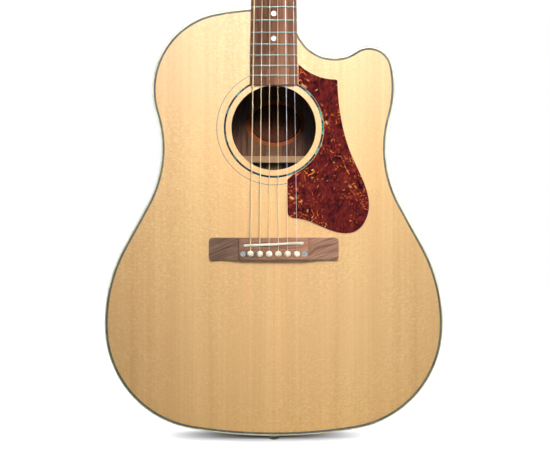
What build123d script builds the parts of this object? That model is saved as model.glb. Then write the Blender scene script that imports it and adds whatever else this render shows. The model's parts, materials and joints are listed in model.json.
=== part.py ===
from build123d import *
from math import asin, atan2, cos, degrees, radians, sin, sqrt, tan
import os

# ---------------------------------------------------------------------------
# Steel-string acoustic guitar with round shoulders and a rounded cutaway.
# The guitar stands upright: +Z runs up the neck, the soundboard faces -Y and
# the treble side is at +X. The origin is the centre of the strap pin's head,
# on the centreline, 8 mm below the tail.
#
# Most parts are drawn in "guitar coordinates": x across, v up the centreline
# from the tail, and h as the height above the soundboard towards the player.
# ---------------------------------------------------------------------------

# --- body outline: arcs (radius, sweep) from the tail; a negative sweep is concave ---
TAIL_ARC = (607.0, 9.3)
CORNER_ARC = (125.5, 77.9)
SIDE_ARC = (192.0, 31.5)
FLANK_LENGTH = 57.5                 # straight run between lower bout and waist
WAIST_ARC = (140.0, -46.2)
UPPER_BOUT_ARC = (94.3, 97.0)
CUTAWAY_WAIST_ARC = (140.0, -44.7)
HORN_SIDE_ARC = (127.5, 27.7)
HORN_TIP_ARC = (28.5, 112.8)
CUTAWAY_FLOOR_ARC = (45.5, -81.4)
CUTAWAY_RISE_ARC = (57.7, -43.1)

# --- sound box ---
TAIL_Z = 8.0                        # tail of the body above the origin
TAIL_DEPTH = 121.0                  # rim depth on the centreline at the tail
HEEL_DEPTH = 98.0                   # rim depth on the centreline at the neck
BACK_RADIUS = 4572.0                # dish of the back, 15 ft
TOP_T, BACK_T, RIB_T = 2.8, 2.5, 2.3
BINDING_W, BINDING_D = 1.5, 6.0
PLY_BLACK, PLY_WHITE, PURFLING_D = 0.52, 0.42, 1.4
LINING_W, LINING_D = 6.5, 15.0
END_STRIP_W = 9.0
STRAP_SHANK_R = 3.0
NECK_BLOCK = (76.0, 62.0)           # width, length along the centreline
TAIL_BLOCK = (84.0, 20.0)

SOUNDHOLE_V, SOUNDHOLE_R = 369.8, 50.8
PEARL_R = (58.1, 59.6)              # inner and outer radius of the shell ring
PEARL_LINE_W = 0.45
OUTER_LINE_R = (68.2, 68.9)
ROSETTE_D = 1.2
LABEL_V, LABEL_SEMI = 380.0, (37.5, 28.5)
LABEL_T, STRIP_T = 0.25, 2.5

# --- scale, fingerboard and neck ---
SCALE = 628.65                      # 24.75 in
BRIDGE_LINE_V = 234.3               # where an uncompensated saddle would stand
NUT_V = BRIDGE_LINE_V + SCALE
FRETS = 20
BOARD_END_V = 421.3
BOARD_T, BOARD_RADIUS = 6.0, 305.0
NUT_W, BOARD_END_W = 43.8, 57.6
NUT_T, NUT_H = 5.0, 7.8
NUT_SLOT_H = 7.5                    # underside of a string at the middle of the nut
FRET_CROWN = (2.2, 1.1)             # width, height
FRET_TANG = (0.55, 1.8)             # width, depth
DOT_R, SIDE_DOT_R, DOT_T = 3.15, 1.0, 1.2
DOT_FRETS = (3, 5, 7, 9, 12, 15, 17)
HEEL_CAP_T = 2.5
TENON = (20.0, 26.0, 18.0, 72.0)    # narrow width, wide width, length, depth
ROD_R, ROD_H = 2.4, -7.5

# --- headstock ---
HEAD_TILT = 15.0
HEAD_LENGTH, HEAD_T, VENEER_T = 182.0, 14.5, 1.8
HEAD_HALF = (33.5, 38.0)            # half width at the shoulder and at the top
HEAD_SHOULDER_U = 27.0
COVER_T, COVER_SCREWS = 1.6, ((0.0, 33.5), (-8.8, 6.0), (8.8, 6.0))
ROD_NUT = (NUT_V + NUT_T + 4.0, NUT_V + NUT_T + 14.0)
POST_U = (46.0, 89.0, 132.0)
POST_X = (21.5, 22.7, 23.9)

# --- tuners ---
POST_R, POST_RISE = 3.0, 13.0       # rise above the veneer
BUSHING_R, WASHER_R, WASHER_T = 4.4, 6.3, 0.8
BUSHING_RISE = 3.2                  # washer and hexagon together
WORM_R, WHEEL_R = 1.9, 4.2
GEAR_CENTRES = WORM_R + WHEEL_R + 0.06
HOUSING = (21.0, 19.5, 9.5)         # across, along the headstock, deep
HOUSING_SHIFT = (1.0, 0.8)          # housing centre from the post: outward, up
HOUSING_WALL = 1.2
EAR_U = -12.0                       # fixing screw below the post
KNOB_GAP = 11.0                     # headstock edge to the middle of the knob
SHAFT_R = 1.7
RUNNING = 0.05                      # radial clearance of every turning fit

# --- bridge ---
BRIDGE_V, BRIDGE_LENGTH, BRIDGE_W = 224.4, 155.6, 27.0
BRIDGE_H, WING_STEP_H, WING_TIP_H = 9.0, 7.4, 4.2
BLOCK_HALF = 41.5
PIN_V, PIN_SPACING = 218.4, 11.1
PIN_HOLE_R, PIN_HEAD_R = 2.7, 3.9
DOT_X = 36.8
SADDLE_V, SADDLE_LENGTH, SADDLE_T = 229.8, 72.0, 3.2
SADDLE_SLANT = 2.4
SADDLE_CREST_H = 11.8               # underside of a string at the middle of the saddle
SADDLE_FOOT_H = 5.0
BRIDGE_PLATE_T = 2.6

# --- strings: bass to treble, diameters ---
GAUGES = (1.35, 1.07, 0.81, 0.61, 0.41, 0.31)
STRING_SPREAD_SADDLE, STRING_SPREAD_NUT = 55.5, 36.5

PICKGUARD_T = 1.2

FACE_Y = -TAIL_DEPTH / 2            # outer surface of the soundboard


# ---------------------------------------------------------------------------
# Frames of reference and shared shapes
# ---------------------------------------------------------------------------
def at(x, v, h):
    """A point given in guitar coordinates."""
    return Vector(x, FACE_Y - h, TAIL_Z + v)


def front(h=0.0):
    """Plane parallel to the soundboard at height h; its y runs up the neck."""
    return Plane(origin=at(0, 0, h), x_dir=(1, 0, 0), z_dir=(0, -1, 0))


def across(v):
    """Plane square to the centreline at v; its x is across and its y is height."""
    return Plane(origin=at(0, v, 0), x_dir=(1, 0, 0), z_dir=(0, 0, -1))


def fret_v(n):
    return BRIDGE_LINE_V + SCALE / 2 ** (n / 12)


def ellipse_face(half_width, depth):
    """Lower half of an ellipse: the back of a neck section, drawn on an across plane."""
    with BuildSketch(mode=Mode.PRIVATE) as face:
        with BuildLine():
            Line((-half_width, 0), (half_width, 0))
            EllipticalCenterArc((0, 0), half_width, depth, start_angle=180, arc_size=180)
        make_face()
    return face.sketch


def half_rim(arcs, inset, turn):
    """Chain of tangent arcs from the tail up one side, inset from the outline."""
    point, heading = Vector(0, inset), Vector(turn, 0)
    edges = []
    for radius, sweep in arcs:
        if sweep == 0:
            edge = PolarLine(point, radius, direction=heading)
        else:
            inset_radius = radius - inset if sweep > 0 else radius + inset
            edge = JernArc(point, heading, inset_radius, turn * sweep)
        edges.append(edge)
        point, heading = edge @ 1, edge % 1
    return edges


LOWER_ARCS = [TAIL_ARC, CORNER_ARC, SIDE_ARC, (FLANK_LENGTH, 0)]
BASS_ARCS = LOWER_ARCS + [WAIST_ARC, UPPER_BOUT_ARC]
TREBLE_ARCS = LOWER_ARCS + [
    CUTAWAY_WAIST_ARC,
    HORN_SIDE_ARC,
    HORN_TIP_ARC,
    CUTAWAY_FLOOR_ARC,
    CUTAWAY_RISE_ARC,
]


def body_face(inset=0.0):
    """The body outline inset by a distance, as a face."""
    with BuildSketch(mode=Mode.PRIVATE) as face:
        with BuildLine():
            bass = half_rim(BASS_ARCS, inset, -1)
            start, heading = bass[-1] @ 1, bass[-1] % 1
            turn_left = degrees(atan2(heading.Y, heading.X))
            shoulder_radius = -start.X / sin(radians(turn_left))
            shoulder = JernArc(start, heading, shoulder_radius, -turn_left)
            treble = half_rim(TREBLE_ARCS, inset, 1)
            Polyline(shoulder @ 1, ((treble[-1] @ 1).X, (shoulder @ 1).Y), treble[-1] @ 1)
        make_face()
    return face.sketch


OUTLINE = body_face(0)
BODY_LENGTH = OUTLINE.vertices().sort_by(Axis.Y)[-1].Y
IN_BINDING = body_face(BINDING_W)
IN_RIB = body_face(RIB_T)

# the back is part of a sphere through the rim at the tail and at the neck
_chord = at(0, BODY_LENGTH, -HEEL_DEPTH) - at(0, 0, -TAIL_DEPTH)
_middle = (at(0, BODY_LENGTH, -HEEL_DEPTH) + at(0, 0, -TAIL_DEPTH)) * 0.5
_inward = Vector(0, -_chord.Z, _chord.Y).normalized()
BACK_CENTRE = _middle + _inward * sqrt(BACK_RADIUS**2 - (_chord.length / 2) ** 2)
PRISM_DEPTH = TAIL_DEPTH + 30


def dish(radius_less):
    """The back's sphere, its radius made smaller by a distance."""
    return Pos(*BACK_CENTRE) * Sphere(BACK_RADIUS - radius_less)


DISH_OUTER = dish(0)
DISH_BOUND = dish(BINDING_D)
DISH_INNER = dish(BACK_T)
DISH_LABEL = dish(BACK_T + LABEL_T)
DISH_STRIP = dish(BACK_T + STRIP_T)
DISH_LINING = dish(BACK_T + LINING_D)
IN_PURFLING = body_face(BINDING_W + 3 * PLY_BLACK + 2 * PLY_WHITE)
IN_LINING = body_face(RIB_T + LINING_W)


def side(x=0.0):
    """Lengthwise plane at x; its x runs up the neck and its y is height."""
    return Plane(origin=at(x, 0, 0), x_dir=(0, 0, 1), z_dir=(1, 0, 0))


HEAD = Plane(
    origin=at(0, NUT_V + NUT_T, 0),
    x_dir=(1, 0, 0),
    z_dir=(0, -cos(radians(HEAD_TILT)), sin(radians(HEAD_TILT))),
)


def head(w):
    """Plane parallel to the headstock face, raised w above its wood."""
    return HEAD.offset(w)


def save(piece, label):
    piece.part.label = label
    export_step(piece.part, f"parts/{label}.step")


# ---------------------------------------------------------------------------
# Helpers that work inside the current part
# ---------------------------------------------------------------------------
def slab(face, top, bottom, mode=Mode.ADD):
    """A face thickened between two heights."""
    with BuildSketch(front(bottom)) as shape:
        add(face)
    extrude(shape.sketch, amount=top - bottom, mode=mode)


def hoop(outer, inner, top, bottom, mode=Mode.ADD):
    """The band between two body outlines, thickened between two heights."""
    with BuildSketch(front(bottom)) as shape:
        add(outer)
        add(inner, mode=Mode.SUBTRACT)
    extrude(shape.sketch, amount=top - bottom, mode=mode)


def disc(radius, top, bottom, mode=Mode.ADD, centre=(0, SOUNDHOLE_V)):
    """A round plug square to the soundboard."""
    with BuildSketch(front(bottom)) as shape:
        with Locations(centre):
            Circle(radius)
    extrude(shape.sketch, amount=top - bottom, mode=mode)


def annulus(inner, outer, depth, mode=Mode.ADD):
    """A ring let into the soundboard round the soundhole."""
    with BuildSketch(front(-depth)) as shape:
        with Locations((0, SOUNDHOLE_V)):
            Circle(outer)
            Circle(inner, mode=Mode.SUBTRACT)
    extrude(shape.sketch, amount=depth, mode=mode)


def block(x_from, x_to, v_from, v_to, top, bottom, mode=Mode.ADD):
    """A box given by its limits in guitar coordinates."""
    with BuildSketch(front(bottom)) as shape:
        with Locations(((x_from + x_to) / 2, (v_from + v_to) / 2)):
            Rectangle(x_to - x_from, v_to - v_from)
    extrude(shape.sketch, amount=top - bottom, mode=mode)


def bar(start, end, width, height, tip, base=-TOP_T, taper=26.0, mode=Mode.ADD):
    """A brace under the soundboard between two (x, v) points, thinned at its ends."""
    run = Vector(end[0] - start[0], 0, end[1] - start[1])
    section = Plane(origin=at(start[0], start[1], base), x_dir=run, z_dir=run.cross(Vector(0, -1, 0)))
    length = run.length
    with BuildSketch(section) as shape:
        with BuildLine():
            Polyline(
                (0, 0),
                (0, -tip),
                (taper, -height),
                (length - taper, -height),
                (length, -tip),
                (length, 0),
                close=True,
            )
        make_face()
    extrude(shape.sketch, amount=width / 2, both=True, mode=mode)


def tenon(mode=Mode.ADD):
    """The dovetail that joins the neck to its block."""
    narrow, wide, length, depth = TENON
    top_v = BODY_LENGTH + 0.01 if mode == Mode.SUBTRACT else BODY_LENGTH + 3
    with BuildSketch(front(-depth)) as shape:
        with BuildLine():
            Polyline(
                (-narrow / 2, BODY_LENGTH),
                (-wide / 2, BODY_LENGTH - length),
                (wide / 2, BODY_LENGTH - length),
                (narrow / 2, BODY_LENGTH),
                (narrow / 2, top_v),
                (-narrow / 2, top_v),
                close=True,
            )
        make_face()
    extrude(shape.sketch, amount=depth, mode=mode)


def pin_x(i):
    return (i - 2.5) * PIN_SPACING


STRING_EXIT_V = PIN_V + 2.35        # strings rise on the saddle side of their pins


def pin_holes(top, bottom):
    """The six pin holes, each with a groove for its string."""
    for i in range(6):
        disc(PIN_HOLE_R, top, bottom, Mode.SUBTRACT, (pin_x(i), PIN_V))
        groove_r = GAUGES[i] / 2 + 0.12
        disc(groove_r, top, bottom, Mode.SUBTRACT, (pin_x(i), STRING_EXIT_V))


# ---------------------------------------------------------------------------
# Strings: their paths are needed by the bridge, pins, saddle and nut as well.
# Strings are counted from the bass side, 0 to 5.
# ---------------------------------------------------------------------------
def camber(x):
    """How far the fingerboard's curve has dropped at x."""
    return x * x / (2 * BOARD_RADIUS)


def tuner_side(i):
    """-1 for the three bass tuners, +1 for the three treble ones."""
    return -1 if i < 3 else 1


def tuner_place(i):
    """Post position (x, u) on the headstock; the outer strings use the lowest posts."""
    row = i if i < 3 else 5 - i
    return tuner_side(i) * POST_X[row], POST_U[row]


def coil_radius(i):
    return POST_R + RUNNING + GAUGES[i] / 2


def saddle_point(i):
    x = (i - 2.5) / 2.5 * STRING_SPREAD_SADDLE / 2
    v = SADDLE_V + x * tan(radians(SADDLE_SLANT))
    return at(x, v, SADDLE_CREST_H - camber(x) + GAUGES[i] / 2)


def nut_point(i):
    x = (i - 2.5) / 2.5 * STRING_SPREAD_NUT / 2
    return at(x, NUT_V + 1.0, NUT_SLOT_H - camber(x) + GAUGES[i] / 2)


def coil_plane(i):
    """Plane of the lowest turn: centred on the post, x towards the point the string meets."""
    x, u = tuner_place(i)
    nut = HEAD.to_local_coords(nut_point(i))
    to_post = Vector(x - nut.X, u - nut.Y, 0)
    aim = degrees(asin(coil_radius(i) / to_post.length))
    outward = to_post.normalized().rotate(Axis.Z, tuner_side(i) * (90 + aim))
    height = VENEER_T + BUSHING_RISE + 0.4 + GAUGES[i] / 2
    return Plane(
        origin=HEAD.from_local_coords(Vector(x, u, height)),
        x_dir=HEAD.x_dir * outward.X + HEAD.y_dir * outward.Y,
        z_dir=HEAD.z_dir,
    )


def string_path(i):
    """Centreline from the ball under the bridge plate to the post."""
    x = pin_x(i)
    turn = coil_plane(i)
    with BuildLine(mode=Mode.PRIVATE) as path:
        FilletPolyline(
            at(x, STRING_EXIT_V + 1.7, -7.5),
            at(x, STRING_EXIT_V, -5.9),
            at(x, STRING_EXIT_V, 7.0),
            saddle_point(i),
            nut_point(i),
            turn.origin + turn.x_dir * coil_radius(i) - turn.y_dir * tuner_side(i) * 0.8,
            radius=[1.0, 1.0, 1.6, 2.0],
        )
    return path.line


PATHS = [string_path(i) for i in range(6)]


def dome(edge_r, edge_z, top_z):
    """Arc over a round head, centred on its axis so that it turns into part of a ball."""
    ball = (edge_r**2 + (top_z - edge_z) ** 2) / (2 * (top_z - edge_z))
    half = asin(edge_r / ball) / 2
    middle = (ball * sin(half), top_z - ball + ball * cos(half))
    return (edge_r, edge_z), middle, (0, top_z)


def tube(path, radius, mode=Mode.ADD):
    with BuildSketch(Plane(origin=path @ 0, z_dir=path % 0)) as shape:
        Circle(radius)
    sweep(shape.sketch, path=path, is_frenet=True, mode=mode)


# ---------------------------------------------------------------------------
# Sound box
# ---------------------------------------------------------------------------
def make_soundboard():
    """Two bookmatched halves, with channels for the purfling and the rosette."""
    with BuildPart() as board:
        slab(IN_BINDING, 0, -TOP_T)
        hoop(IN_BINDING, IN_PURFLING, 0, -PURFLING_D, Mode.SUBTRACT)
        disc(SOUNDHOLE_R, 0, -TOP_T, Mode.SUBTRACT)
        annulus(PEARL_R[0] - PEARL_LINE_W, PEARL_R[1] + PEARL_LINE_W, ROSETTE_D, Mode.SUBTRACT)
        annulus(*OUTER_LINE_R, ROSETTE_D, Mode.SUBTRACT)
        pin_holes(0, -TOP_T)
        tenon(Mode.SUBTRACT)
        split(bisect_by=Plane.YZ, keep=Keep.BOTH)
    save(board, "soundboard")


def make_back():
    """Two dished halves inside the binding."""
    with BuildPart() as back:
        slab(IN_BINDING, -HEEL_DEPTH / 2, -PRISM_DEPTH)
        add(DISH_OUTER, mode=Mode.INTERSECT)
        add(DISH_INNER, mode=Mode.SUBTRACT)
        split(bisect_by=Plane.YZ, keep=Keep.BOTH)
    save(back, "back_plate")


def make_ribs():
    """The two bent sides, stepped for the bindings, meeting at the tail strip."""
    half = END_STRIP_W / 2
    with BuildPart() as outer_layer:
        hoop(OUTLINE, IN_BINDING, -BINDING_D, -PRISM_DEPTH)
        add(DISH_BOUND, mode=Mode.INTERSECT)
    with BuildPart() as ribs:
        hoop(IN_BINDING, IN_RIB, -TOP_T, -PRISM_DEPTH)
        add(DISH_INNER, mode=Mode.INTERSECT)
        add(outer_layer.part)
        block(-half, half, -1, 5, 0, -PRISM_DEPTH, Mode.SUBTRACT)
        tenon(Mode.SUBTRACT)
    for label, keep in (("rib_treble", Keep.TOP), ("rib_bass", Keep.BOTTOM)):
        with BuildPart() as rib:
            add(ribs.part)
            split(bisect_by=Plane.YZ, keep=keep)
        save(rib, label)
    with BuildPart() as strip:
        hoop(IN_BINDING, IN_RIB, -TOP_T, -PRISM_DEPTH)
        add(DISH_INNER, mode=Mode.INTERSECT)
        add(outer_layer.part)
        block(-half, half, -1, 5, 0, -PRISM_DEPTH, Mode.INTERSECT)
        strap_pin_hole()
    save(strip, "end_strip")


def strap_pin_hole():
    with BuildSketch(Plane.XY) as shape:
        Circle(STRAP_SHANK_R)
    extrude(shape.sketch, amount=60, mode=Mode.SUBTRACT)


def cut_blocks_away():
    width, length = NECK_BLOCK
    block(-width / 2, width / 2, BODY_LENGTH - length, BODY_LENGTH, 0, -PRISM_DEPTH, Mode.SUBTRACT)
    width, length = TAIL_BLOCK
    block(-width / 2, width / 2, 0, RIB_T + length, 0, -PRISM_DEPTH, Mode.SUBTRACT)


def make_linings():
    """Glue strips inside both rims, stepped towards the box and stopped at the blocks."""
    narrow = body_face(RIB_T + LINING_W / 2)
    with BuildPart() as front_lining:
        hoop(IN_RIB, IN_LINING, -TOP_T, -TOP_T - LINING_D / 2)
        hoop(IN_RIB, narrow, -TOP_T - LINING_D / 2, -TOP_T - LINING_D)
        cut_blocks_away()
    with BuildPart() as back_lining:
        hoop(IN_RIB, IN_LINING, -HEEL_DEPTH / 2, -PRISM_DEPTH)
        add(DISH_INNER, mode=Mode.INTERSECT)
        add(DISH_LINING, mode=Mode.SUBTRACT)
        slab(narrow, 0, back_height(BODY_LENGTH / 2) + LINING_D / 2, Mode.SUBTRACT)
        cut_blocks_away()
    with BuildPart() as linings:
        add(front_lining.part)
        add(back_lining.part)
    save(linings, "kerfed_linings")


def make_blocks():
    """The neck block with its mortise and the tail block with the strap pin hole."""
    width, length = NECK_BLOCK
    with BuildPart() as neck_block:
        slab(IN_RIB, -TOP_T, -PRISM_DEPTH)
        limits = (-width / 2, width / 2, BODY_LENGTH - length, BODY_LENGTH)
        block(*limits, -TOP_T, -PRISM_DEPTH, Mode.INTERSECT)
        add(DISH_INNER, mode=Mode.INTERSECT)
        tenon(Mode.SUBTRACT)
    save(neck_block, "neck_block")
    width, length = TAIL_BLOCK
    with BuildPart() as tail_block:
        slab(IN_RIB, -TOP_T, -PRISM_DEPTH)
        limits = (-width / 2, width / 2, 0, RIB_T + length)
        block(*limits, -TOP_T, -PRISM_DEPTH, Mode.INTERSECT)
        add(DISH_INNER, mode=Mode.INTERSECT)
        strap_pin_hole()
    save(tail_block, "tail_block")


def inside_lining():
    """Trim the current part to the space within the linings."""
    slab(IN_LINING, -TOP_T, -PRISM_DEPTH, Mode.INTERSECT)


X_CROSSING_V, X_ANGLE = 294.0, 48.0


def x_leg(hand, mode=Mode.ADD):
    """One leg of the X brace, from a lower bout corner to the opposite upper bout."""
    slope = hand * tan(radians(X_ANGLE))
    start, end = 128.0, 418.0
    ends = [((v - X_CROSSING_V) * slope, v) for v in (start, end)]
    bar(*ends, 8.0, 16.0, 5.0, taper=60.0, mode=mode)


def make_x_brace():
    """Two legs half lapped where they cross below the soundhole."""
    lap = (-12, 12, X_CROSSING_V - 12, X_CROSSING_V + 12)
    middle = -TOP_T - 8.0
    legs = []
    for hand, cut_top, cut_bottom in ((1, -TOP_T, middle), (-1, middle, -PRISM_DEPTH)):
        with BuildPart() as notch:
            x_leg(-hand)
            block(*lap, cut_top, cut_bottom, Mode.INTERSECT)
        with BuildPart() as leg:
            x_leg(hand)
            inside_lining()
            add(notch.part, mode=Mode.SUBTRACT)
        legs.append(leg.part)
    with BuildPart() as brace:
        for leg in legs:
            add(leg)
    save(brace, "x_brace")


def make_soundboard_braces():
    with BuildPart() as transverse:
        bar((-122, 440), (122, 440), 12.0, 14.0, 5.0)
        inside_lining()
    save(transverse, "transverse_brace")
    with BuildPart() as tone_bars:
        bar((-100, 168), (120, 112), 7.0, 13.0, 3.0, taper=50.0)
        bar((-55, 122), (70, 75), 7.0, 12.0, 3.0, taper=40.0)
    save(tone_bars, "tone_bars")
    with BuildPart() as fingers:
        for hand in (-1, 1):
            bar((hand * 66, 262), (hand * 126, 293), 7.0, 9.0, 2.5)
            bar((hand * 112, 214), (hand * 150, 235), 7.0, 9.0, 2.5, taper=16.0)
            bar((hand * 62, 372), (hand * 62, 425), 6.0, 8.0, 2.5, taper=16.0)
        inside_lining()
    save(fingers, "finger_braces")


def make_bridge_plate():
    with BuildPart() as plate:
        with BuildSketch(front(-TOP_T - BRIDGE_PLATE_T)):
            with BuildLine():
                Polyline((-57, 236), (57, 236), (75, 200), (-75, 200), close=True)
            make_face()
        extrude(amount=BRIDGE_PLATE_T)
        pin_holes(-TOP_T, -TOP_T - BRIDGE_PLATE_T)
    save(plate, "bridge_plate")


BACK_BRACES = ((90, 184, 16), (190, 187, 16), (335, 124, 8), (430, 133, 8))   # v, half length, width


def back_height(v):
    """Height of the inside of the back on the centreline."""
    rise = TAIL_Z + v - BACK_CENTRE.Z
    return FACE_Y - BACK_CENTRE.Y - sqrt((BACK_RADIUS - BACK_T) ** 2 - rise**2)


def make_back_braces():
    """Bars across the back, flat on top and thinned at the ends."""
    with BuildPart() as braces:
        for v, half, width in BACK_BRACES:
            top, bottom = back_height(v) + 15.0, -PRISM_DEPTH
            with BuildSketch(across(v + width / 2)):
                with BuildLine():
                    Polyline(
                        (-half, bottom),
                        (-half, top - 6),
                        (-half + 40, top),
                        (half - 40, top),
                        (half, top - 6),
                        (half, bottom),
                        close=True,
                    )
                make_face()
            extrude(amount=width)
        add(DISH_INNER, mode=Mode.INTERSECT)
        inside_lining()
    save(braces, "back_braces")


def label_oval(mode):
    with BuildSketch(front(-PRISM_DEPTH)) as shape:
        with Locations((2, LABEL_V)):
            Ellipse(*LABEL_SEMI)
    extrude(shape.sketch, amount=PRISM_DEPTH / 2, mode=mode)


def make_centre_strip():
    """Cross-grain reinforcement over the back joint, between the braces and the label."""
    with BuildPart() as strip:
        start, end = RIB_T + TAIL_BLOCK[1], BODY_LENGTH - NECK_BLOCK[1]
        block(-10, 10, start, end, -HEEL_DEPTH / 2, -PRISM_DEPTH)
        add(DISH_INNER, mode=Mode.INTERSECT)
        add(DISH_STRIP, mode=Mode.SUBTRACT)
        for v, half, width in BACK_BRACES:
            block(-12, 12, v - width / 2, v + width / 2, 0, -PRISM_DEPTH, Mode.SUBTRACT)
        label_oval(Mode.SUBTRACT)
    save(strip, "back_center_strip")


def make_label():
    """A blank oval label glued to the back under the soundhole."""
    with BuildPart() as paper:
        label_oval(Mode.ADD)
        add(DISH_INNER, mode=Mode.INTERSECT)
        add(DISH_LABEL, mode=Mode.SUBTRACT)
    save(paper, "label")


def make_binding():
    """Strips let into both outer corners of the box, with the front corner eased."""
    with BuildPart() as front_binding:
        hoop(OUTLINE, IN_BINDING, 0, -BINDING_D)
        rim = front_binding.faces().sort_by(Axis.Y)[0].outer_wire().edges()
        chamfer(rim, 0.6)
        tenon(Mode.SUBTRACT)
    with BuildPart() as binding:
        hoop(OUTLINE, IN_BINDING, -HEEL_DEPTH / 2, -PRISM_DEPTH)
        add(DISH_OUTER, mode=Mode.INTERSECT)
        add(DISH_BOUND, mode=Mode.SUBTRACT)
        add(front_binding.part)
    save(binding, "binding")


def make_purfling():
    """Five thin plies between the binding and the soundboard, black outermost."""
    with BuildPart() as black:
        for inset in (0, PLY_BLACK + PLY_WHITE, 2 * (PLY_BLACK + PLY_WHITE)):
            start = BINDING_W + inset
            hoop(body_face(start), body_face(start + PLY_BLACK), 0, -PURFLING_D)
        tenon(Mode.SUBTRACT)
    save(black, "purfling_black")
    with BuildPart() as white:
        for inset in (PLY_BLACK, 2 * PLY_BLACK + PLY_WHITE):
            start = BINDING_W + inset
            hoop(body_face(start), body_face(start + PLY_WHITE), 0, -PURFLING_D)
        tenon(Mode.SUBTRACT)
    save(white, "purfling_white")


def make_rosette():
    with BuildPart() as pearl:
        annulus(*PEARL_R, ROSETTE_D)
    save(pearl, "rosette_pearl")
    with BuildPart() as lines:
        annulus(PEARL_R[0] - PEARL_LINE_W, PEARL_R[0], ROSETTE_D)
        annulus(PEARL_R[1], PEARL_R[1] + PEARL_LINE_W, ROSETTE_D)
        annulus(*OUTER_LINE_R, ROSETTE_D)
    save(lines, "rosette_lines")


def make_pickguard():
    """Thin guard from beside the fingerboard round the soundhole to below the bridge's end."""
    with BuildPart() as guard:
        with BuildSketch(front(0)):
            with BuildLine():
                top = ThreePointArc((29.6, 446.7), (50.0, 432.8), (76.6, 427.8))
                edge = Spline(
                    top @ 1,
                    (78.8, 394.3),
                    (93.0, 338.0),
                    (110.7, 297.3),
                    (113.5, 268.2),
                    (97.5, 245.4),
                    (75.4, 244.7),
                    (42.1, 257.8),
                    (24.0, 261.4),
                )
                corner = ThreePointArc(edge @ 1, (18.4, 264.0), (16.1, 269.5))
                Polyline(corner @ 1, (16.1, 307.5), (21.6, 312.4), (29.6, 345), top @ 0)
            make_face()
            fillet(vertices().filter_by_position(Axis.Y, 307, 308), 3.0)
            fillet(vertices().filter_by_position(Axis.Y, 427.7, 427.9), 2.5)
            with Locations((0, SOUNDHOLE_V)):
                Circle(PEARL_R[1] + PEARL_LINE_W + 0.4, mode=Mode.SUBTRACT)
        extrude(amount=PICKGUARD_T)
    save(guard, "pickguard")


# ---------------------------------------------------------------------------
# Bridge
# ---------------------------------------------------------------------------
def saddle_blank(mode=Mode.ADD):
    with BuildSketch(front(SADDLE_FOOT_H)) as shape:
        with Locations((0, SADDLE_V)):
            SlotOverall(SADDLE_LENGTH, SADDLE_T, rotation=SADDLE_SLANT)
    extrude(shape.sketch, amount=10, mode=mode)


def make_bridge():
    """Flat block with scooped wings, a slanted saddle slot and ramps for the strings."""
    half, near, far = BRIDGE_LENGTH / 2, BRIDGE_V - BRIDGE_W / 2, BRIDGE_V + BRIDGE_W / 2
    tip = near - 1.2
    with BuildPart() as bridge:
        with BuildSketch(front(0)):
            with BuildLine():
                Polyline((half, tip), (half, far), (-half, far), (-half, tip))
                ThreePointArc((-half, tip), (-60, near + 1.0), (-BLOCK_HALF, near))
                Line((-BLOCK_HALF, near), (BLOCK_HALF, near))
                ThreePointArc((BLOCK_HALF, near), (60, near + 1.0), (half, tip))
            make_face()
            corners = vertices().filter_by(lambda corner: abs(corner.X) > BLOCK_HALF + 1)
            fillet(corners, 4.6)
        extrude(amount=BRIDGE_H)
        with BuildSketch(across(far + 1)):
            with BuildLine():
                for hand in (-1, 1):
                    end = (hand * (half + 1), WING_TIP_H)
                    ThreePointArc(end, (hand * 60, 4.9), (hand * (BLOCK_HALF + 0.8), WING_STEP_H))
                    Line((hand * (BLOCK_HALF + 0.8), WING_STEP_H), (hand * BLOCK_HALF, BRIDGE_H + 0.01))
                    Line(end, (hand * (half + 1), -1))
                Line((-BLOCK_HALF, BRIDGE_H + 0.01), (BLOCK_HALF, BRIDGE_H + 0.01))
                Line((-half - 1, -1), (half + 1, -1))
            make_face()
        extrude(amount=BRIDGE_W + 4, mode=Mode.INTERSECT)
        crown = bridge.faces().sort_by(Axis.Y)[0].edges().filter_by(Axis.X)
        fillet(crown, 1.4)
        saddle_blank(Mode.SUBTRACT)
        pin_holes(BRIDGE_H + 1, 0)
        for x in (-DOT_X, DOT_X):
            disc(DOT_R, BRIDGE_H + 1, BRIDGE_H - DOT_T, Mode.SUBTRACT, (x, PIN_V))
        for i in range(6):
            string_ramp(i)
    save(bridge, "bridge")


def string_ramp(i):
    """Cut the sloping slot that leads a string from its pin hole to the saddle."""
    half_width = GAUGES[i] / 2 + 0.12
    foot = Vector(STRING_EXIT_V, 7.0)
    crest = side().to_local_coords(saddle_point(i))
    rise = Vector(crest.X - foot.X, crest.Y - foot.Y).normalized()
    far = foot + rise * 9
    tube(PATHS[i], half_width, Mode.SUBTRACT)
    with BuildSketch(side(pin_x(i))) as shape:
        with BuildLine():
            Polyline((foot.X, foot.Y), (far.X, far.Y), (far.X, 20), (foot.X, 20), close=True)
        make_face()
    extrude(shape.sketch, amount=half_width, both=True, mode=Mode.SUBTRACT)


def make_saddle():
    """Slanted bone strip, its top curved like the fingerboard and rounded under the strings."""
    with BuildPart() as saddle:
        saddle_blank()
        with BuildSketch(across(SADDLE_V + 10)):
            with Locations((0, SADDLE_CREST_H - BOARD_RADIUS)):
                Circle(BOARD_RADIUS)
        extrude(amount=20, mode=Mode.INTERSECT)
        crest = saddle.faces().sort_by(Axis.Y)[0]
        fillet(crest.edges().filter_by(lambda edge: edge.length > 20), 1.2)
        for i in range(6):
            tube(PATHS[i], GAUGES[i] / 2 + 0.01, Mode.SUBTRACT)
    save(saddle, "saddle")


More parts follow.
